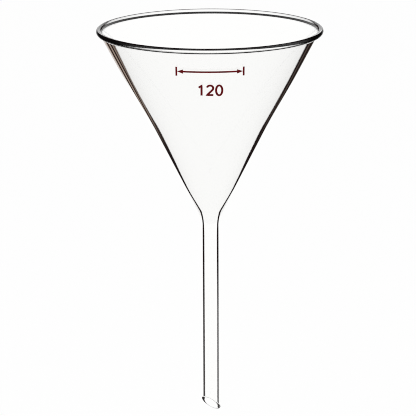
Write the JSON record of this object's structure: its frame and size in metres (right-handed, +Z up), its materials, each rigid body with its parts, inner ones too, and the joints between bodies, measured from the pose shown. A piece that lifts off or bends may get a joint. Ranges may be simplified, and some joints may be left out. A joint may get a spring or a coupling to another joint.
{
  "type": "conical glass funnel",
  "caption": "Clear glass laboratory funnel: straight cone with a rounded rim bead, drawn down into a long stem with a bevelled tip, for pouring and filtering.",
  "frame": {"origin": "on the axis, at the top of the straight stem, where the neck ends", "axes": "+Z up along the axis towards the mouth, -Z down the stem, -Y the side with the print, and the bevelled tip is longest on the side 56 degrees from +X towards +Y"},
  "size_m": [0.12, 0.12, 0.2113],
  "materials": {
    "clear_glass": "fire-polished, clear and colourless"
  },
  "bodies": {
    "root": {"funnel": "clear_glass"}
  },
  "joints": []
}
